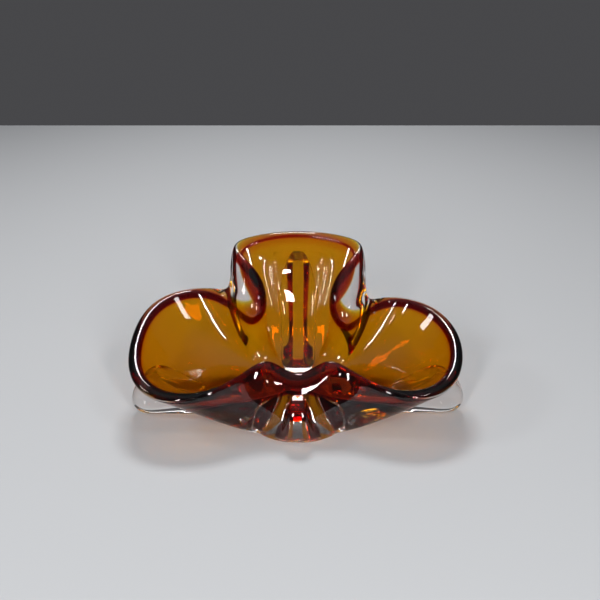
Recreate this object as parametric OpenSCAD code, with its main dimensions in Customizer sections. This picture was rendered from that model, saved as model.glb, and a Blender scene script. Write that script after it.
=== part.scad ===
// Art glass bowl: thick cased glass, amber inside and clear outside, pulled into three lobes with a fold
// between each pair, and four clear fins drawn out of the casing. Millimetres, +Z up, X to the right and
// -Y to the front. The origin is the centre of the flat ground base, on the surface that the bowl rests on.

/* [Bowl] */
// Width over the two side lobes
rim_w = 281; // [260:1:300]
// Depth from the front of the side lobes to the rear of the back lobe
rim_d = 161; // [150:1:172]
// Height of the back lobe's crest above the table
rim_h = 128; // [118:1:138]
// Diameter of the flat ground base
base_d = 88; // [80:1:94]
// How much higher the left lobe's rear edge is than the right one's
left_lift = 6; // [0:0.5:8]

/* [Glass] */
// Thickness of the amber lining
amber_t = 3.2; // [2.4:0.1:3.6]
// Height of the bowl's floor above the table at its lowest point
floor_z = 21; // [19:1:23]
// Roundness of the lip, as a share of its width
lip_round = 0.62; // [0.45:0.01:0.7]
// How far over the lip the amber reaches, as a share of the lip
lip_amber = 0.75; // [0.5:0.01:0.85]

/* [Fins] */
// How far the nose of each side fin is from the middle of the base
side_fin_reach = 142; // [136:1:146]
// Height of a side fin's nose
side_fin_nose_z = 15; // [11:1:18]
// How much a side fin's end swells to each side
side_fin_knob = 4; // [0:0.5:6]
// How far the back fin stands out behind the middle of the base
back_fin_reach = 124; // [118:1:130]
// How far the front fin stands out in front of the middle of the base
front_fin_reach = 53; // [51:1:55]
// Gap between a fin's lower edge and the table
fin_lift = 0.8; // [0.6:0.1:1.5]

/* [Mesh] */
// Rows of facets from the floor to the rim
rows = 18; // [12:1:20]

/* [Hidden] */

// Stations of the right half, from the middle of the front to the middle of the back. Each holds the
// amber's edge at the rim, the point that the inner wall rises from, the clear glass's edge at the rim
// and the point that the outer wall rises from, at the size of the default values.
STATIONS = [
    // front fold
    [[  0, -17,  47], [  0,  -8, 24], [  0, -32,  44], [  0, -50, 14]],
    [[ 11, -15,  50], [  9,  -8, 24], [ 13, -30,  47], [ 12, -50, 14]],
    [[ 21, -13,  55], [ 18,  -7, 24], [ 27, -27,  53], [ 25, -47, 15]],
    [[ 33, -16,  55], [ 30, -10, 24], [ 39, -28,  51], [ 38, -43, 17]],
    // side lobe
    [[ 49, -25,  50], [ 44, -16, 24], [ 55, -36,  45], [ 53, -40, 20]],
    [[ 74, -37,  46], [ 62, -22, 24], [ 78, -46,  41], [ 71, -38, 21]],
    [[101, -36,  46], [ 82, -20, 23], [106, -44,  41], [ 88, -30, 21]],
    [[121, -20,  51], [ 94, -10, 22], [128, -26,  46], [100, -15, 21]],
    [[130,   6,  60], [100,   8, 22], [138,   5,  56], [106,   4, 21]],
    [[127,  36,  67], [ 96,  26, 22], [135,  39,  64], [101,  24, 22]],
    [[112,  58,  73], [ 84,  40, 22], [118,  65,  70], [ 90,  42, 22]],
    [[ 91,  67,  75], [ 70,  46, 22], [ 94,  76,  72], [ 76,  54, 22]],
    // fold between the side lobe and the back lobe
    [[ 72,  61,  72], [ 60,  48, 22], [ 79,  77,  70], [ 66,  62, 22]],
    [[ 57,  50,  66], [ 53,  47, 22], [ 71,  74,  68], [ 59,  68, 23]],
    [[ 46,  40,  62], [ 48,  48, 22], [ 65,  72,  69], [ 54,  72, 24]],
    [[ 35,  42,  65], [ 40,  51, 23], [ 62,  75,  75], [ 49,  76, 26]],
    [[ 28,  53,  75], [ 32,  56, 24], [ 61,  80,  85], [ 45,  81, 28]],
    // back lobe
    [[ 30,  66,  87], [ 28,  60, 24], [ 61,  87,  97], [ 41,  86, 30]],
    [[ 40,  79,  99], [ 25,  62, 24], [ 60,  94, 108], [ 37,  90, 30]],
    [[ 51,  91, 110], [ 23,  66, 24], [ 57, 101, 117], [ 32,  92, 30]],
    [[ 45,  98, 119], [ 18,  68, 24], [ 47, 106, 122], [ 24,  93, 30]],
    [[ 25, 101, 125], [ 10,  69, 24], [ 26, 109, 125], [ 13,  94, 30]],
    [[  0, 102, 127], [  0,  70, 24], [  0, 110, 126], [  0,  94, 30]],
];
// Width, depth and height of the bowl that the stations describe
STATION_SIZE = [281, 161, 128];
// Lowest point of the bowl's floor, in plan
FLOOR_AT = [0, 8];

half = len(STATIONS) - 1;
loop_n = 2 * half;
scale_xyz = [rim_w / STATION_SIZE.x, rim_d / STATION_SIZE.y, rim_h / STATION_SIZE.z];
pole = [FLOOR_AT.x, FLOOR_AT.y, floor_z];
// Station numbers of the fins' middles
FRONT = 0;
RIGHT = 8;
BACK = half;
LEFT = loop_n - RIGHT;

// Cubic ease from 0 at a to 1 at b
function ease(a, b, x) = let (t = min(1, max(0, (x - a) / (b - a)))) t * t * (3 - 2 * t);
function scaled(p) = [p.x * scale_xyz.x, p.y * scale_xyz.y, p.z * scale_xyz.z];

// The left half is the right one mirrored, but its lobe reaches out a little more, forward and back,
// and its rear edge is higher.
function lefthand(p) =
    let (
        out = ease(20, 50, p.x) * (1 - ease(80, 100, p.z)),
        rear = ease(0, 50, p.y),
        widen = 3 * ease(50, 110, p.x),
        shift_y = out * (11 * rear - 4),
        shift_z = out * rear * left_lift
    )
    [-p.x - widen, p.y + shift_y, p.z + shift_z];
function mirrored(p) = [-p.x, p.y, p.z];

// Closed loops of the four points: 0 amber edge, 1 inner foot, 2 clear edge, 3 outer foot
function whole_loop(part) = [
    for (k = [0 : half]) scaled(STATIONS[k][part]),
    for (k = [half - 1 : -1 : 1])
        scaled(part % 2 == 0 ? lefthand(STATIONS[k][part]) : mirrored(STATIONS[k][part]))
];

// Control points of a closed cubic B-spline that passes through the points p
function controls(p) =
    let (n = len(p))
    [for (k = [0 : n - 1]) p[k] - (p[(k + n - 1) % n] - 2 * p[k] + p[(k + 1) % n]) / 6];
function blend4(a, b, c, d, t) =
    (a * pow(1 - t, 3) + b * (3 * t * t * t - 6 * t * t + 4)
        + c * (3 * t * t - 3 * t * t * t + 3 * t + 1) + d * t * t * t) / 6;
function closed_spline(c, u) =
    let (n = len(c), k = floor(u), t = u - k)
    blend4(c[(k + n - 1) % n], c[k % n], c[(k + 1) % n], c[(k + 2) % n], t);
// Open cubic B-spline from the first of the points c to the last, with t from 0 to 1
function open_spline(c, t) =
    let (
        n = len(c), s = t * (n + 1), k = min(n, floor(s)), f = s - k,
        at = function (m) c[max(0, min(n - 1, m))]
    )
    blend4(at(k - 2), at(k - 1), at(k), at(k + 1), f);
function bezier(a, b, c, d, t) =
    a * pow(1 - t, 3) + 3 * b * t * pow(1 - t, 2) + 3 * c * t * t * (1 - t) + d * pow(t, 3);
function unit(v) = v / norm(v);

// Columns of facets round the bowl: 2 to a station, and more where a fin is drawn out of the casing
function cuts(k) =
    (k == RIGHT - 1 || k == RIGHT || k == LEFT - 1 || k == LEFT) ? 8
    : (k == BACK - 1 || k == BACK || k == FRONT || k == loop_n - 1) ? 6
    : 2;
places = [for (k = [0 : loop_n - 1]) for (j = [0 : cuts(k) - 1]) k + j / cuts(k)];
cols = len(places);
function next(i) = (i + 1) % cols;
function previous(i) = (i + cols - 1) % cols;

function points_of(part) =
    let (c = controls(whole_loop(part)))
    [for (u = places) closed_spline(c, u)];
amber_edge = points_of(0);
inner_foot = points_of(1);
clear_edge = points_of(2);
outer_foot = points_of(3);

// Inner face of the amber, as inner[column][row], from the floor to the rim
inner = [
    for (i = [0 : cols - 1])
        let (
            foot = inner_foot[i],
            flat = [pole.x + 0.55 * (foot.x - pole.x), pole.y + 0.55 * (foot.y - pole.y), pole.z]
        )
        [for (j = [0 : rows]) bezier(pole, flat, foot, amber_edge[i], j / rows)]
];
function inner_normal(i, j) =
    unit(cross(
        inner[next(i)][j] - inner[previous(i)][j],
        inner[i][min(rows, j + 1)] - inner[i][j - 1]
    ));

// Point i of the lip, from the amber's edge at t = 0 to the clear glass's edge at t = 1. It leaves each
// edge along the wall below it.
function lip(i, t) =
    let (
        a = amber_edge[i],
        b = clear_edge[i],
        reach = lip_round * norm(b - a)
    )
    bezier(a, a + reach * unit(a - inner_foot[i]), b + reach * unit(b - outer_foot[i]), b, t);
// Share of the lip that the amber covers. It is less over a fold at the rear, where the lip is wide.
NARROW_LIP = 9;
function amber_share(i) =
    let (w = norm(clear_edge[i] - amber_edge[i]), rear = ease(0, 40, amber_edge[i].y))
    lip_amber * (1 + rear * (min(1, pow(NARROW_LIP / w, 0.6)) - 1));

// Face where the amber and the clear glass are fused, up to the amber's end on the lip
fused = [
    for (i = [0 : cols - 1])
        [
            for (j = [0 : rows])
                j == 0 ? pole - [0, 0, amber_t]
                : j == rows ? lip(i, amber_share(i))
                : inner[i][j] + amber_t * inner_normal(i, j)
        ]
];

// Direction in plan of the base's edge under each column. The columns are spread so that they run side
// by side under the fins.
SPREAD = 0.55;
function base_angle(q) =
    let (f = atan2(q.y, q.x))
    atan2(q.y * (1 - SPREAD * pow(sin(f), 2)), q.x * (1 - SPREAD * pow(cos(f), 2)));
// Height that the outer face has reached near the base
HEEL_Z = 4;
HEEL_OUT = 0.45;
outer = [
    for (i = [0 : cols - 1])
        let (
            a = base_angle(clear_edge[i]),
            edge = [base_d / 2 * cos(a), base_d / 2 * sin(a), 0],
            foot = outer_foot[i],
            heel = edge + HEEL_OUT * (foot - edge)
        )
        [for (j = [0 : rows]) bezier(edge, [heel.x, heel.y, HEEL_Z], foot, clear_edge[i], j / rows)]
];

function ring(face, j) = [for (i = [0 : cols - 1]) face[i][j]];
// Steps over the amber's part of the lip and over the clear glass's part
AMBER_STEPS = 3;
CLEAR_STEPS = 4;

// A closed solid through the rings, each of cols points, with a point at each end
module loft(start, rings, end) {
    n = len(rings);
    points = [start, for (r = rings) each r, end];
    at = function (k, i) 1 + k * cols + i % cols;
    polyhedron(points, [
        for (i = [0 : cols - 1]) [0, at(0, i + 1), at(0, i)],
        for (k = [0 : n - 2]) for (i = [0 : cols - 1])
            each [[at(k, i), at(k + 1, i + 1), at(k + 1, i)], [at(k, i), at(k, i + 1), at(k + 1, i + 1)]],
        for (i = [0 : cols - 1]) [n * cols + 1, at(n - 1, i), at(n - 1, i + 1)]
    ]);
}

module amber_lining() {
    color("goldenrod") loft(
        pole,
        [
            for (j = [1 : rows]) ring(inner, j),
            for (k = [1 : AMBER_STEPS - 1])
                [for (i = [0 : cols - 1]) lip(i, amber_share(i) * k / AMBER_STEPS)],
            for (j = [rows : -1 : 1]) ring(fused, j)
        ],
        pole - [0, 0, amber_t]
    );
}

module clear_casing() {
    color("gainsboro") loft(
        pole - [0, 0, amber_t],
        [
            for (j = [1 : rows]) ring(fused, j),
            for (k = [1 : CLEAR_STEPS - 1])
                [
                    for (i = [0 : cols - 1])
                        let (from = amber_share(i))
                        lip(i, from + (1 - from) * k / CLEAR_STEPS)
                ],
            for (j = [rows : -1 : 0]) ring(outer, j)
        ],
        [0, 0, 0]
    );
}

// A fin is a patch of the casing's outer face drawn out to a free edge. The patch is the columns within
// reach of the fin's middle column, from row first to row last. The outline holds the free edge's points in
// the fin's own plane, as [distance from the middle, height]. The flank is the share of the half width over
// which the fin rises, and the knob is how much its end swells to each side.
ROUND_FROM = 0.75;
CREST_ROUND = 0.35;
THIN = 0.04;
// How far a point of the patch is drawn, for s from -1 to 1 across it and t from 0 to 1 up it. The fin
// narrows to a round end over its last quarter.
function drawn_share(s, t, flank) =
    let (
        u = max(0, (t - ROUND_FROM) / (1 - ROUND_FROM)),
        width = sqrt(1 - u * u),
        rise = ease(0, flank, 1 - abs(s) / width)
    )
    max(THIN * (1 - abs(s)), rise * sqrt(1 - CREST_ROUND * s * s));
function aside_share(s, t) = 2.6 * s * (1 - s * s) * ease(0.35, 0.62, t) * (1 - ease(0.7, 1, t));

module fin(station, reach, first, last, outline, flank, knob) {
    middle = search(station, places)[0];
    dir = unit([clear_edge[middle].x, clear_edge[middle].y]);
    column = function (i) (middle - reach + i + cols) % cols;
    plane_point = function (p) let (q = outer[middle][p]) [q.x * dir.x + q.y * dir.y, q.z];
    edge = [plane_point(first), each outline, plane_point(last)];
    w = 2 * reach;
    h = last - first;
    skin = [for (i = [0 : w]) for (j = [first : last]) outer[column(i)][j]];
    drawn = [
        for (i = [1 : w - 1]) for (j = [first + 1 : last - 1])
            let (
                s = i / reach - 1,
                t = (j - first) / h,
                d = open_spline(edge, t) - plane_point(j),
                aside = knob * aside_share(s, t)
            )
            outer[column(i)][j] + drawn_share(s, t, flank) * [dir.x * d.x, dir.y * d.x, d.y]
                + aside * [-dir.y, dir.x, 0]
    ];
    on_skin = function (i, j) i * (h + 1) + j;
    on_fin = function (i, j)
        (i == 0 || j == 0 || i == w || j == h) ? on_skin(i, j)
        : len(skin) + (i - 1) * (h - 1) + j - 1;
    // Each cell is two triangles, and the two corner triangles with no drawn-out point have no thickness
    polyhedron(concat(skin, drawn), [
        for (i = [0 : w - 1]) for (j = [0 : h - 1]) each [
            if (i > 0 || j < h - 1) each [
                [on_skin(i, j), on_skin(i + 1, j + 1), on_skin(i, j + 1)],
                [on_fin(i, j), on_fin(i, j + 1), on_fin(i + 1, j + 1)]
            ],
            if (i < w - 1 || j > 0) each [
                [on_skin(i, j), on_skin(i + 1, j), on_skin(i + 1, j + 1)],
                [on_fin(i, j), on_fin(i + 1, j + 1), on_fin(i + 1, j)]
            ]
        ]
    ]);
}

module side_fin(station) {
    r = side_fin_reach;
    z = side_fin_nose_z;
    outline = [
        [0.46 * r, fin_lift], [0.64 * r, fin_lift], [0.84 * r, fin_lift], [0.95 * r, fin_lift],
        [r + 1, z - 5], [r + 1, z + 5], [0.965 * r, z + 17]
    ];
    color("lightgray") fin(station, 4, 1, round(0.84 * rows), outline, 0.7, side_fin_knob);
}
module right_fin() side_fin(RIGHT);
module left_fin() side_fin(LEFT);

module back_fin() {
    r = back_fin_reach;
    outline = [
        [60, fin_lift], [80, fin_lift], [r - 22, 8], [r - 10, 28], [r - 2, 52], [r + 4, 80], [r + 2, 101]
    ];
    color("lightgray") fin(BACK, 6, 1, rows - 1, outline, 0.75, 0);
}

module front_fin() {
    r = front_fin_reach;
    outline = [[r - 2, 5], [r + 1, 14], [r + 1, 26], [r - 6, 37]];
    color("lightgray") fin(FRONT, 5, 1, rows - 1, outline, 0.6, 0);
}

amber_lining();
clear_casing();
left_fin();
right_fin();
back_fin();
front_fin();
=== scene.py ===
"""The art glass bowl: an amber lining inside a clear cased body with four drawn fins.

Every piece is built from the same stations as in the CAD, with more columns and rows, so that the glass
bends light smoothly. Lengths are in mm up to add_piece; the camera, floor and lights are in metres.
"""

import math

import bpy
import numpy as np
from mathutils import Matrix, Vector


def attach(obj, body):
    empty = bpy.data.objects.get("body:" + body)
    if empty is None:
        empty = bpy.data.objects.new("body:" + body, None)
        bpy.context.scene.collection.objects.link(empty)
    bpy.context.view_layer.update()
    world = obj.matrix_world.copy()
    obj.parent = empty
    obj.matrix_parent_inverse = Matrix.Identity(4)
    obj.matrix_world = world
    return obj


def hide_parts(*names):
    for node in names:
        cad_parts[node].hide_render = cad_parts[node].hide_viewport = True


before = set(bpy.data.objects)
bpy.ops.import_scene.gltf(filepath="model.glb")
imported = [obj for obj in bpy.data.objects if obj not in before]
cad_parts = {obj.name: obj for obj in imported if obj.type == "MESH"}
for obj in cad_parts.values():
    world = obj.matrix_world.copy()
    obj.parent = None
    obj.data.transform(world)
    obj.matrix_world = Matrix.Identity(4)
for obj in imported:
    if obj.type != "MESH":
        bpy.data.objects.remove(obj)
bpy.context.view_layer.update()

MM = 0.001

# ---------------------------------------------------------------- the bowl's form, as in the CAD, in mm
# Stations of the right half, from the middle of the front to the middle of the back: the amber's edge at
# the rim, the point the inner wall rises from, the clear glass's edge and the point the outer wall rises
# from.
STATIONS = [
    [(0, -17, 47), (0, -8, 24), (0, -32, 44), (0, -50, 14)],
    [(11, -15, 50), (9, -8, 24), (13, -30, 47), (12, -50, 14)],
    [(21, -13, 55), (18, -7, 24), (27, -27, 53), (25, -47, 15)],
    [(33, -16, 55), (30, -10, 24), (39, -28, 51), (38, -43, 17)],
    [(49, -25, 50), (44, -16, 24), (55, -36, 45), (53, -40, 20)],
    [(74, -37, 46), (62, -22, 24), (78, -46, 41), (71, -38, 21)],
    [(101, -36, 46), (82, -20, 23), (106, -44, 41), (88, -30, 21)],
    [(121, -20, 51), (94, -10, 22), (128, -26, 46), (100, -15, 21)],
    [(130, 6, 60), (100, 8, 22), (138, 5, 56), (106, 4, 21)],
    [(127, 36, 67), (96, 26, 22), (135, 39, 64), (101, 24, 22)],
    [(112, 58, 73), (84, 40, 22), (118, 65, 70), (90, 42, 22)],
    [(91, 67, 75), (70, 46, 22), (94, 76, 72), (76, 54, 22)],
    [(72, 61, 72), (60, 48, 22), (79, 77, 70), (66, 62, 22)],
    [(57, 50, 66), (53, 47, 22), (71, 74, 68), (59, 68, 23)],
    [(46, 40, 62), (48, 48, 22), (65, 72, 69), (54, 72, 24)],
    [(35, 42, 65), (40, 51, 23), (62, 75, 75), (49, 76, 26)],
    [(28, 53, 75), (32, 56, 24), (61, 80, 85), (45, 81, 28)],
    [(30, 66, 87), (28, 60, 24), (61, 87, 97), (41, 86, 30)],
    [(40, 79, 99), (25, 62, 24), (60, 94, 108), (37, 90, 30)],
    [(51, 91, 110), (23, 66, 24), (57, 101, 117), (32, 92, 30)],
    [(45, 98, 119), (18, 68, 24), (47, 106, 122), (24, 93, 30)],
    [(25, 101, 125), (10, 69, 24), (26, 109, 125), (13, 94, 30)],
    [(0, 102, 127), (0, 70, 24), (0, 110, 126), (0, 94, 30)],
]
FEET = (1, 3)  # the points of a station from which the walls rise

# How the left lobe's edge differs from the right one's: moved out, forward all along, back and up towards
# its rear, and the ranges of x, z and y over which each move comes in or ends
LEFT_OUT, LEFT_FORWARD, LEFT_BACK, LEFT_LIFT = 3, 4, 11, 6.0
LEFT_OUT_X, LEFT_LOBE_X, LEFT_LOBE_Z, LEFT_REAR_Y = (50, 110), (20, 50), (80, 100), (0, 50)

# The inner wall leaves its pole level, and its second control point is this share of the way to its foot
POLE = np.array([0.0, 8.0, 21.0])
POLE_LEVEL = 0.55
AMBER_T = 3.2

# The outer wall's second control point: its height, and the share of the way from the base to its foot
BASE_R = 44.0
HEEL_Z, HEEL_OUT = 4.0, 0.45
# How strongly the columns are spread out round the base where they are crowded, near the x and y axes
SPREAD = 0.55

# The lip's control points stand off by this share of its width. The amber reaches over a share of the lip,
# which falls by a power of the width where a rear lip is wider than LIP_WIDE.
LIP_ROUND = 0.62
LIP_AMBER, LIP_WIDE, LIP_FALL = 0.75, 9, 0.6
LIP_REAR_Y = (0, 40)

# In the visual model only, the amber swells to this thickness towards its edge, and closes onto the lip at
# the very edge. The ranges are distances below the edge.
SWELL_T = 6.6
SWELL_BELOW = (1.5, 6)
CLOSE_BELOW = (0, 5)

# The rim bead, in the visual model only: its depth under the inner face as a share of the rim's width, the
# limits of that depth, its radius as a share of it, and the shares that the radius loses at three places
BEAD_DEPTH, BEAD_DEPTH_LIMITS = 0.47, (2.9, 4.1)
BEAD_R = 0.86
BEAD_LESS_AT_FOLD, BEAD_LESS_ON_CREST, BEAD_LESS_IN_FRONT = 0.55, 0.6, 0.35
BEAD_CREST_Z, BEAD_FRONT_Y = (95, 118), (-28, 0)
# At the front fold the bead lies deeper by this share of the rim's width
BEAD_FOLD_SINK = 0.5
BEAD_SIDES = 16

# The front fold ends over these ranges of distance from the middle, for the swelling and for the bead, and
# over this range of y
SWELL_FOLD_X, BEAD_FOLD_X = (20, 40), (24, 44)
FOLD_Y = (-10, 10)

# The back lobe's flutes, in the visual model only: depth, width, distance from the middle low down and what
# is added to it higher up, and the heights over which they move apart, begin and end
FLUTE_DEPTH, FLUTE_WIDTH = 2.0, 3.2
FLUTE_OFF, FLUTE_APART = 15, 11
FLUTE_APART_Z, FLUTE_BEGIN_Z, FLUTE_END_Z = (45, 105), (48, 70), (100, 114)
BACK_LOBE_Y = 40

# The clear glass covers the amber inside the bowl by this much
SKIN = 0.15

# Numbers of stations and of grid lines
HALF = len(STATIONS) - 1
LOOP = 2 * HALF
FRONT, RIGHT, BACK = 0, 8, HALF
LEFT = LOOP - RIGHT
SIDE_CUTS, MIDDLE_CUTS, PLAIN_CUTS = 8, 6, 2  # CAD columns to a station at the fins and elsewhere
FINE = 4  # visual columns to one CAD column
ROWS = 72  # up each wall
LIP_ROWS = 20


def ease(a, b, x):
    """Smoothly from 0 at a to 1 at b."""
    t = np.clip((x - a) / (b - a), 0, 1)
    return t * t * (3 - 2 * t)


def whole_loop(part):
    """One of a station's four points all round the bowl, from the middle of the front by the right side.
    The left lobe's edges are a little larger and higher; its feet are the right one's."""
    right = [np.array(s[part], float) for s in STATIONS]
    left = []
    for p in right[-2:0:-1]:
        if part in FEET:
            left.append(p * [-1, 1, 1])
            continue
        lobe = ease(*LEFT_LOBE_X, p[0]) * (1 - ease(*LEFT_LOBE_Z, p[2]))
        rear = ease(*LEFT_REAR_Y, p[1])
        back = LEFT_BACK * rear - LEFT_FORWARD
        shift = [LEFT_OUT * ease(*LEFT_OUT_X, p[0]), lobe * back, lobe * rear * LEFT_LIFT]
        left.append((p + shift) * [-1, 1, 1])
    return np.array(right + left)


def blend4(a, b, c, d, t):
    """A uniform cubic B-spline's piece between four control points."""
    return (
        a * (1 - t) ** 3
        + b * (3 * t**3 - 6 * t**2 + 4)
        + c * (3 * t**2 - 3 * t**3 + 3 * t + 1)
        + d * t**3
    ) / 6


def closed_spline(points, u):
    """A closed cubic B-spline that passes through the points, at the places u."""
    c = points - (np.roll(points, 1, 0) - 2 * points + np.roll(points, -1, 0)) / 6
    n = len(c)
    k = np.floor(u).astype(int)
    t = (u - k)[:, None]
    return blend4(c[(k - 1) % n], c[k % n], c[(k + 1) % n], c[(k + 2) % n], t)


def open_spline(points, t):
    """An open cubic B-spline from the first point to the last, for t from 0 to 1."""
    c = np.array(points, float)
    n = len(c)
    s = np.asarray(t) * (n + 1)
    k = np.minimum(n, np.floor(s).astype(int))
    f = (s - k)[:, None]
    at = [c[np.clip(k + m, 0, n - 1)] for m in (-2, -1, 0, 1)]
    return blend4(*at, f)


def bezier(a, b, c, d, t):
    """Cubic curves with one column each, as [column, row, xyz], at rows t or [column, row] t."""
    a, b, c, d = (x[:, None, :] for x in (a, b, c, d))
    t = np.atleast_2d(t)[:, :, None]
    return a * (1 - t) ** 3 + 3 * b * t * (1 - t) ** 2 + 3 * c * t**2 * (1 - t) + d * t**3


def unit(v):
    return v / np.maximum(np.linalg.norm(v, axis=-1, keepdims=True), 1e-12)


def cuts(k):
    """Visual columns from station k to the next one."""
    if k in (RIGHT - 1, RIGHT, LEFT - 1, LEFT):
        return SIDE_CUTS * FINE
    if k in (BACK - 1, BACK, FRONT, LOOP - 1):
        return MIDDLE_CUTS * FINE
    return PLAIN_CUTS * FINE


def base_angle(q):
    """Where the columns that end at the points q start on the base's edge, as angles."""
    f = np.arctan2(q[:, 1], q[:, 0])
    return np.arctan2(
        q[:, 1] * (1 - SPREAD * np.sin(f) ** 2), q[:, 0] * (1 - SPREAD * np.cos(f) ** 2)
    )


PLACES = np.array([k + j / cuts(k) for k in range(LOOP) for j in range(cuts(k))])
COLS = len(PLACES)
RISE = np.linspace(0, 1, ROWS + 1)

amber_edge, inner_foot, clear_edge, outer_foot = (
    closed_spline(whole_loop(part), PLACES) for part in range(4)
)


def face_normals(face):
    """Normals of a closed face grid, [column, row], pointing away from the bowl's inside."""
    across = np.roll(face, -1, 0) - np.roll(face, 1, 0)
    along = np.gradient(face, axis=1)
    return unit(np.cross(across, along))


def strip_normals(strip):
    """Outward normals of a closed strip that runs up the inside, over the lip and down the outside."""
    across = np.roll(strip, -1, 0) - np.roll(strip, 1, 0)
    along = np.gradient(strip, axis=1)
    return unit(np.cross(along, across))


def flutes(face):
    """Depths of the two shallow flutes in the back lobe, one to each side of its fin."""
    x, y, z = face[:, :, 0], face[:, :, 1], face[:, :, 2]
    off = np.abs(x) - (FLUTE_OFF + FLUTE_APART * ease(*FLUTE_APART_Z, z))
    up = ease(*FLUTE_BEGIN_Z, z) * (1 - ease(*FLUTE_END_Z, z)) * (y > BACK_LOBE_Y)
    return FLUTE_DEPTH * np.exp(-((off / FLUTE_WIDTH) ** 2)) * up


def inner_face():
    """The amber's face inside the bowl, from the pole to the amber's edge, with the flutes pressed in."""
    pole = np.tile(POLE, (COLS, 1))
    level = pole + POLE_LEVEL * (inner_foot - pole)
    level[:, 2] = POLE[2]
    face = bezier(pole, level, inner_foot, amber_edge, RISE)
    return face + flutes(face)[:, :, None] * face_normals(face)


def outer_face():
    """The casing's face outside the bowl, from the base's edge to the clear glass's edge."""
    a = base_angle(clear_edge)
    edge = BASE_R * np.stack([np.cos(a), np.sin(a), 0 * a], 1)
    heel = edge + HEEL_OUT * (outer_foot - edge)
    heel[:, 2] = HEEL_Z
    return bezier(edge, heel, outer_foot, clear_edge, RISE)


inner = inner_face()
outer = outer_face()
inner_out = face_normals(inner)
inner_out[:, 0] = (0, 0, -1)  # all columns meet at the pole, so it gets its normal here
amber_along = unit(amber_edge - inner_foot)
clear_along = unit(clear_edge - outer_foot)
lip_width = np.linalg.norm(clear_edge - amber_edge, axis=1)


def lip(t):
    """The rounded lip from the amber's edge at t = 0 to the clear glass's edge at t = 1."""
    reach = LIP_ROUND * lip_width[:, None]
    return bezier(
        amber_edge, amber_edge + reach * amber_along, clear_edge + reach * clear_along, clear_edge, t
    )


def amber_share():
    """How far over the lip the amber reaches: three quarters, but less where a rear lip is wide."""
    rear = ease(*LIP_REAR_Y, amber_edge[:, 1])
    return LIP_AMBER * (1 + rear * (np.minimum(1, (LIP_WIDE / lip_width) ** LIP_FALL) - 1))


share = amber_share()


def at_front_fold(x_range):
    """For each column, 1 at the front fold and 0 away from it, falling over the range of x."""
    return (1 - ease(*x_range, np.abs(amber_edge[:, 0]))) * (1 - ease(*FOLD_Y, amber_edge[:, 1]))


def fused_face():
    """Where the amber and the clear glass are fused. Towards the edge the amber swells, but not at the
    front fold, and in the last few millimetres it closes onto the lip."""
    below = np.linalg.norm(inner - amber_edge[:, None], axis=2)[:, :, None]
    swell = ((SWELL_T - AMBER_T) * (1 - at_front_fold(SWELL_FOLD_X)))[:, None, None]
    face = inner + (AMBER_T + swell * (1 - ease(*SWELL_BELOW, below))) * inner_out
    close = lip(share[:, None])[:, 0] - face[:, -1]
    return face + (1 - ease(*CLOSE_BELOW, below)) * close[:, None]


# ---------------------------------------------------------------- fins
# How far the fins reach from the middle, the height of the side fins' tips, and how far the side and back
# fins' lower edges are over the table. The free edges are (distance from the middle, height), upwards.
SIDE_REACH, BACK_REACH, FRONT_REACH = 142.0, 124.0, 53.0
SIDE_NOSE_Z, FIN_LIFT = 15.0, 0.8
SIDE_EDGE = [
    (0.46 * SIDE_REACH, FIN_LIFT),
    (0.64 * SIDE_REACH, FIN_LIFT),
    (0.84 * SIDE_REACH, FIN_LIFT),
    (0.95 * SIDE_REACH, FIN_LIFT),
    (SIDE_REACH + 1, SIDE_NOSE_Z - 5),
    (SIDE_REACH + 1, SIDE_NOSE_Z + 5),
    (0.965 * SIDE_REACH, SIDE_NOSE_Z + 17),
]
BACK_EDGE = [
    (60, FIN_LIFT),
    (80, FIN_LIFT),
    (BACK_REACH - 22, 8),
    (BACK_REACH - 10, 28),
    (BACK_REACH - 2, 52),
    (BACK_REACH + 4, 80),
    (BACK_REACH + 2, 101),
]
FRONT_EDGE = [
    (FRONT_REACH - 2, 5),
    (FRONT_REACH + 1, 14),
    (FRONT_REACH + 1, 26),
    (FRONT_REACH - 6, 37),
]
CAD_ROWS = 18  # up a wall in the CAD
ROUND_FROM = 0.75  # a fin's upper end narrows from this share of its height on
CREST_ROUND = 0.35  # how much its crest falls off to each side
THIN = 0.04  # the least it is pulled out, where it hasn't risen
# A side fin's end swells up over the first range of its height and down again over the second. The factor
# brings the most that s * (1 - s**2) comes to up to 1.
KNOB_FROM, KNOB_TO, KNOB_PEAK = (0.35, 0.62), (0.7, 1), 2.6
# Each fin: middle station, half width in stations, first and last CAD row, free edge, share of the half
# width over which it rises, and how much its end swells to each side
FINS = {
    "left_fin": (LEFT, 4 / SIDE_CUTS, 1, 15, SIDE_EDGE, 0.7, 4),
    "right_fin": (RIGHT, 4 / SIDE_CUTS, 1, 15, SIDE_EDGE, 0.7, 4),
    "back_fin": (BACK, 6 / MIDDLE_CUTS, 1, 17, BACK_EDGE, 0.75, 0),
    "front_fin": (FRONT, 5 / MIDDLE_CUTS, 1, 17, FRONT_EDGE, 0.6, 0),
}


def fin_patch(station, reach, first, last):
    """The fin's columns and rows in the outer face, and how far each column is from its middle."""
    off = (PLACES - station + LOOP / 2) % LOOP - LOOP / 2
    columns = np.nonzero(np.abs(off) <= reach + 1e-9)[0]
    columns = columns[np.argsort(off[columns])]
    r0, r1 = first * ROWS // CAD_ROWS, last * ROWS // CAD_ROWS
    return columns, np.arange(r0, r1 + 1), off[columns] / reach


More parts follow.
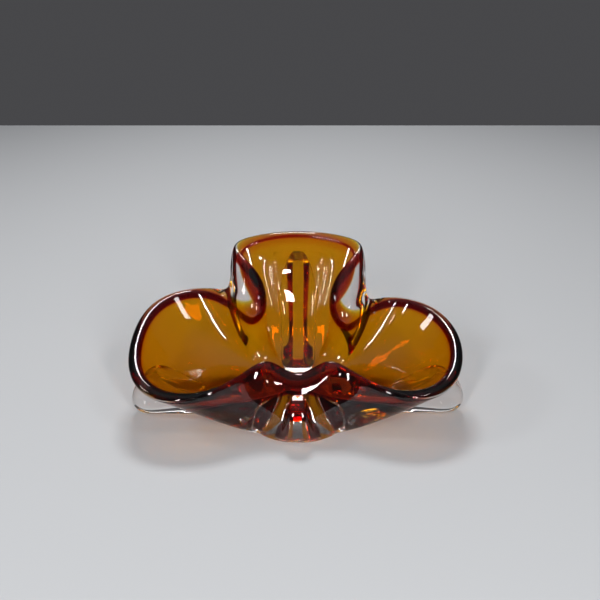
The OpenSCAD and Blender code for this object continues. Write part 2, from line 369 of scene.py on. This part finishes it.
def drawn_out(station, reach, first, last, edge, flank, knob):
    """The fin's drawn face: its patch of the outer face pulled out to the free edge."""
    columns, rows, s = fin_patch(station, reach, first, last)
    middle = np.argmin(np.abs(PLACES - station))
    direction = unit(clear_edge[middle, :2])
    wall = outer[middle][rows]
    plane = np.stack([wall[:, :2] @ direction, wall[:, 2]], 1)
    t = (rows - rows[0]) / (rows[-1] - rows[0])
    free = open_spline([plane[0], *edge, plane[-1]], t)
    d = free - plane
    pull = np.stack([direction[0] * d[:, 0], direction[1] * d[:, 0], d[:, 1]], 1)
    aside = np.array([-direction[1], direction[0], 0])
    s = s[:, None]
    width = np.sqrt(1 - np.clip((t - ROUND_FROM) / (1 - ROUND_FROM), 0, 0.999) ** 2)
    rise = ease(0, flank, 1 - np.abs(s) / width)
    amount = np.maximum(THIN * (1 - np.abs(s)), rise * np.sqrt(1 - CREST_ROUND * s**2))
    swell = knob * KNOB_PEAK * s * (1 - s**2) * ease(*KNOB_FROM, t) * (1 - ease(*KNOB_TO, t))
    face = outer[columns][:, rows] + amount[:, :, None] * pull + swell[:, :, None] * aside
    return columns, rows, face


# ---------------------------------------------------------------- mesh building
def grid_faces(ids, flip=False):
    """Quads over a [column, row] grid of vertex numbers."""
    a, b, c, d = ids[:-1, :-1], ids[1:, :-1], ids[1:, 1:], ids[:-1, 1:]
    q = np.stack([a, b, c, d], -1).reshape(-1, 4)
    return q[:, ::-1] if flip else q


def closed(ids):
    """The grid with its first column again after the last one."""
    return np.concatenate([ids, ids[:1]], 0)


def capped(strip, normals, top, bottom):
    """A closed strip with a fan from its first row to the point top, which faces up, and a fan from its last
    row to the point bottom, which faces down: vertices, normals, and its quads and two fans of faces."""
    rows = strip.shape[1]
    ring = closed(np.arange(COLS * rows).reshape(COLS, rows))
    top_id, bottom_id = COLS * rows, COLS * rows + 1
    vertices = np.concatenate([strip.reshape(-1, 3), [top, bottom]])
    normals = np.concatenate([normals.reshape(-1, 3), [(0, 0, 1), (0, 0, -1)]])
    quads = [*grid_faces(ring, flip=True)]
    top_fan = [(top_id, ring[i, 0], ring[i + 1, 0]) for i in range(COLS)]
    bottom_fan = [(bottom_id, ring[i + 1, -1], ring[i, -1]) for i in range(COLS)]
    return vertices, normals, quads, top_fan, bottom_fan


def add_piece(name, vertices, faces, normals, slots, materials, node, flat_from=None):
    """One visual piece that stands for a CAD node. Its faces are shaded by the vertex normals, apart from
    those from flat_from on, which are level and face down."""
    mesh = bpy.data.meshes.new(name)
    mesh.from_pydata((vertices * MM).tolist(), [], [list(map(int, f)) for f in faces])
    for material in materials:
        mesh.materials.append(material)
    mesh.polygons.foreach_set("material_index", slots)
    mesh.polygons.foreach_set("use_smooth", [True] * len(mesh.polygons))
    mesh.update()
    corner = np.zeros(len(mesh.loops), int)
    mesh.loops.foreach_get("vertex_index", corner)
    shading = normals[corner]
    if flat_from is not None:
        shading[mesh.polygons[flat_from].loop_start :] = (0, 0, -1)
    mesh.normals_split_custom_set(shading.tolist())
    piece = bpy.data.objects.new(name, mesh)
    bpy.context.scene.collection.objects.link(piece)
    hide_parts(node)
    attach(piece, "root")


# ---------------------------------------------------------------- materials
def principled(name):
    """A new material with its node tree, its shader and its output."""
    material = bpy.data.materials.new(name)
    material.use_nodes = True
    tree = material.node_tree
    return material, tree, tree.nodes["Principled BSDF"], tree.nodes["Material Output"]


def hand_worked_bump(tree, strength, scale):
    """The slow waviness of hot-worked glass."""
    place = tree.nodes.new("ShaderNodeTexCoord")
    waves = tree.nodes.new("ShaderNodeTexNoise")
    waves.inputs["Scale"].default_value = scale
    waves.inputs["Detail"].default_value = 1.5
    bump = tree.nodes.new("ShaderNodeBump")
    bump.inputs["Strength"].default_value = strength
    bump.inputs["Distance"].default_value = 0.002
    tree.links.new(place.outputs["Object"], waves.inputs["Vector"])
    tree.links.new(waves.outputs["Fac"], bump.inputs["Height"])
    return bump


def clear_glass():
    material, tree, shader, _ = principled("clear_glass")
    shader.inputs["Base Color"].default_value = (1.0, 1.0, 1.0, 1.0)
    shader.inputs["Transmission Weight"].default_value = 1.0
    shader.inputs["Roughness"].default_value = 0.0
    shader.inputs["IOR"].default_value = 1.5
    bump = hand_worked_bump(tree, strength=0.12, scale=28.0)
    tree.links.new(bump.outputs["Normal"], shader.inputs["Normal"])
    return material


def colour_in_glass(name, color, density):
    """Colour held in the glass: it deepens with the depth of glass, and its surface bends no light."""
    material, tree, shader, output = principled(name)
    tree.nodes.remove(shader)
    clear = tree.nodes.new("ShaderNodeBsdfTransparent")
    tint = tree.nodes.new("ShaderNodeVolumeAbsorption")
    tint.inputs["Color"].default_value = (*color, 1.0)
    tint.inputs["Density"].default_value = density
    tree.links.new(clear.outputs["BSDF"], output.inputs["Surface"])
    tree.links.new(tint.outputs["Volume"], output.inputs["Volume"])
    return material


def fused_joint():
    """Faces inside the glass where two pieces are fused: nothing shows there."""
    material, tree, shader, output = principled("fused_joint")
    tree.nodes.remove(shader)
    clear = tree.nodes.new("ShaderNodeBsdfTransparent")
    tree.links.new(clear.outputs["BSDF"], output.inputs["Surface"])
    return material


CLEAR = clear_glass()
AMBER = colour_in_glass("amber_glass", (0.956, 0.82, 0.0), density=2150.0)
BURGUNDY = colour_in_glass("amber_bead", (0.9, 0.5, 0.1), density=2500.0)
FUSED = fused_joint()


# ---------------------------------------------------------------- pieces
def add_amber_lining():
    """The lining: its face inside the bowl, its part of the lip and the face fused to the casing."""
    back = fused_face()
    arch = lip(share[:, None] * np.linspace(0, 1, LIP_ROWS)[None, 1:-1])
    strip = np.concatenate([inner[:, 1:], arch, back[:, :0:-1]], 1)
    covered = inner.shape[1] - 1 + arch.shape[1]  # the rows that lie under the clear skin
    strip[:, :covered] -= SKIN * strip_normals(strip)[:, :covered]
    vertices, normals, quads, top_fan, bottom_fan = capped(
        strip, strip_normals(strip), POLE - (0, 0, SKIN), POLE - (0, 0, AMBER_T)
    )
    faces = quads + top_fan + bottom_fan
    add_piece(
        "amber_lining",
        vertices,
        faces,
        normals,
        [0] * len(faces),
        [AMBER],
        "amber_lining",
    )


def add_rim_bead():
    """The amber gathered along its edge, which shows as the burgundy line round the rim."""
    fold = at_front_fold(BEAD_FOLD_X)
    crest = ease(*BEAD_CREST_Z, amber_edge[:, 2])
    depth = np.clip(BEAD_DEPTH * lip_width, *BEAD_DEPTH_LIMITS)
    radius = BEAD_R * depth * (1 - BEAD_LESS_AT_FOLD * fold) * (1 - BEAD_LESS_ON_CREST * crest)
    radius *= 1 - BEAD_LESS_IN_FRONT * (1 - ease(*BEAD_FRONT_Y, amber_edge[:, 1]))
    depth = depth + fold * (BEAD_FOLD_SINK * lip_width)
    normal = inner_out[:, -1]
    along = unit(amber_along - normal * np.sum(amber_along * normal, axis=1, keepdims=True))
    centre = amber_edge + depth[:, None] * normal
    turn = np.linspace(0, 2 * math.pi, BEAD_SIDES + 1)[None, :-1, None]
    outward = np.cos(turn) * normal[:, None] + np.sin(turn) * along[:, None]
    tube = centre[:, None] + radius[:, None, None] * outward
    ids = np.arange(COLS * BEAD_SIDES).reshape(COLS, BEAD_SIDES)
    ring = closed(np.concatenate([ids, ids[:, :1]], 1))
    faces = [*grid_faces(ring)]
    add_piece(
        "rim_bead",
        tube.reshape(-1, 3),
        faces,
        outward.reshape(-1, 3),
        [0] * len(faces),
        [BURGUNDY],
        "amber_lining",
    )


def add_clear_glass():
    """The casing, which covers the amber, and the four fins fused to its outer face. The casing is shaded
    by the drawn fins' normals too, so that no seam shows where a fin leaves it."""
    arch = lip(np.linspace(0, 1, LIP_ROWS + 1)[1:-1])
    strip = np.concatenate([inner[:, 1:], arch, outer[:, ::-1]], 1)
    rows = strip.shape[1]
    row_of = rows - 1 - np.arange(ROWS + 1)  # where a row of the outer face is in the strip
    drawn = strip.copy()
    fins = {}
    for name, spec in FINS.items():
        columns, patch_rows, face = drawn_out(*spec)
        drawn[np.ix_(columns, row_of[patch_rows])] = face
        fins[name] = (columns, patch_rows, face)
    normals = strip_normals(drawn)
    vertices, all_normals, quads, top_fan, bottom_fan = capped(strip, normals, POLE, (0, 0, 0))
    slots = np.zeros((COLS, rows - 1), int)
    for columns, patch_rows, _ in fins.values():
        low, high = row_of[patch_rows[-1]], row_of[patch_rows[0]]
        slots[np.ix_(columns[:-1], np.arange(low, high))] = 1
    all_slots = np.concatenate([slots.reshape(-1), np.zeros(len(top_fan) + len(bottom_fan), int)])
    add_piece(
        "clear_casing",
        vertices,
        quads + top_fan + bottom_fan,
        all_normals,
        all_slots,
        [CLEAR, FUSED],
        "clear_casing",
        flat_from=len(quads) + len(top_fan),
    )
    for name, (columns, patch_rows, face) in fins.items():
        add_fin(name, columns, patch_rows, face, normals[np.ix_(columns, row_of[patch_rows])])


def add_fin(name, columns, patch_rows, face, face_normal):
    """One fin: its drawn face, and the face fused to the casing. They meet along the patch's border."""
    wall = outer[columns][:, patch_rows]
    w, h = len(columns), len(patch_rows)
    on_wall = np.arange(w * h).reshape(w, h)
    on_fin = on_wall.copy()
    on_fin[1:-1, 1:-1] = w * h + np.arange((w - 2) * (h - 2)).reshape(w - 2, h - 2)
    vertices = np.concatenate([wall.reshape(-1, 3), face[1:-1, 1:-1].reshape(-1, 3)])
    normals = np.concatenate([face_normal.reshape(-1, 3), face_normal[1:-1, 1:-1].reshape(-1, 3)])
    outside, inside = grid_faces(on_fin), grid_faces(on_wall, flip=True)
    faces = [*outside, *inside]
    slots = [0] * len(outside) + [1] * len(inside)
    add_piece(name, vertices, faces, normals, slots, [CLEAR, FUSED], name)


# ---------------------------------------------------------------- camera, floor and light, in metres
# The photo's camera, worked out from the paper tag's corners
LENS_PX = 780.0
PICTURE_PX = 600.0
SENSOR_MM = 36.0
CAMERA_AT = (0.0018, -0.579, 0.3646)
CAMERA_DOWN = math.radians(23.9)

FLOOR_HALF_WIDTH, FLOOR_FRONT, FLOOR_BACK, FLOOR_Z = 1.6, -1.2, 1.25, -0.0005

# A dark room that grows lighter overhead: how high up each colour is, as the z of the direction
SKY = [(0.75, (0.08, 0.08, 0.085, 1)), (0.95, (0.34, 0.35, 0.37, 1))]
SKY_STRENGTH = 0.8

# Each light: name, place, the point it faces, width and height, watts
LIGHTS = [
    # over the bowl and behind it: the light on the cloth, which also lights the glass from below
    ("softbox", (-0.05, 0.75, 1.35), (0, 0.05, 0), (0.44, 0.3), 10.5),
    # the two small bright reflections in the middle of the back lobe
    ("window", (0.035, -1.135, 0.54), (-0.011, 0.094, 0.103), (0.028, 0.017), 0.08),
    ("lamp", (0.035, -1.076, 0.665), (-0.009, 0.082, 0.075), (0.035, 0.07), 0.37),
    # a soft spot in the side lobe across the bowl from each lamp
    ("left_lamp", (-0.78, -0.09, 0.71), (0.11, 0.05, 0.06), (0.17, 0.15), 1.3),
    ("right_lamp", (0.60, -0.57, 0.95), (-0.1, 0.06, 0.07), (0.17, 0.15), 1.3),
    # the upright streaks in the flutes
    ("left_strip", (-0.44, -1.2, 0.65), (0, 0.09, 0.09), (0.09, 0.5), 8),
    ("right_strip", (0.44, -1.2, 0.65), (0, 0.09, 0.09), (0.09, 0.5), 8),
    # low behind the bowl: thin bright lines along the rims
    ("rear_strip", (0.0, 1.5, 0.5), (0, 0.0, 0.05), (1.0, 0.05), 0.8),
]


def add_camera():
    data = bpy.data.cameras.new("camera")
    data.sensor_width = SENSOR_MM
    data.lens = LENS_PX / PICTURE_PX * SENSOR_MM
    camera = bpy.data.objects.new("camera", data)
    camera.location = CAMERA_AT
    camera.rotation_euler = (math.pi / 2 - CAMERA_DOWN, 0, 0)
    bpy.context.scene.collection.objects.link(camera)
    bpy.context.scene.camera = camera


def add_floor():
    """The pale cloth, just under the base face."""
    mesh = bpy.data.meshes.new("floor")
    x, front, back, z = FLOOR_HALF_WIDTH, FLOOR_FRONT, FLOOR_BACK, FLOOR_Z
    mesh.from_pydata([(-x, front, z), (x, front, z), (x, back, z), (-x, back, z)], [], [(0, 1, 2, 3)])
    material, _, shader, _ = principled("floor_cloth")
    shader.inputs["Base Color"].default_value = (0.56, 0.57, 0.585, 1.0)
    shader.inputs["Roughness"].default_value = 0.9
    mesh.materials.append(material)
    floor = bpy.data.objects.new("floor", mesh)
    bpy.context.scene.collection.objects.link(floor)


def add_area_light(name, at, aim, size, watts):
    """A rectangular light at one point that faces another."""
    data = bpy.data.lights.new(name, "AREA")
    data.shape = "RECTANGLE"
    data.size, data.size_y = size
    data.energy = watts
    light = bpy.data.objects.new(name, data)
    light.location = at
    line = np.array(aim, float) - np.array(at, float)
    light.rotation_euler = Vector(line).to_track_quat("-Z", "Y").to_euler()
    bpy.context.scene.collection.objects.link(light)


def add_world():
    """The room round the bowl, which the glass reflects."""
    world = bpy.data.worlds.new("studio")
    world.use_nodes = True
    tree = world.node_tree
    background = tree.nodes["Background"]
    place = tree.nodes.new("ShaderNodeTexCoord")
    split = tree.nodes.new("ShaderNodeSeparateXYZ")
    ramp = tree.nodes.new("ShaderNodeValToRGB")
    for element, (height, color) in zip(ramp.color_ramp.elements, SKY):
        element.position = height
        element.color = color
    tree.links.new(place.outputs["Generated"], split.inputs["Vector"])
    tree.links.new(split.outputs["Z"], ramp.inputs["Fac"])
    tree.links.new(ramp.outputs["Color"], background.inputs["Color"])
    background.inputs["Strength"].default_value = SKY_STRENGTH
    bpy.context.scene.world = world


add_camera()
add_floor()
add_world()
for light in LIGHTS:
    add_area_light(*light)
add_amber_lining()
add_rim_bead()
add_clear_glass()

# Light passes many glass faces on its way through the bowl
cycles = bpy.context.scene.cycles
cycles.max_bounces = 28
cycles.transmission_bounces = 24
cycles.transparent_max_bounces = 48
cycles.diffuse_bounces = 4
cycles.glossy_bounces = 10

bpy.context.scene.view_settings.view_transform = "Standard"
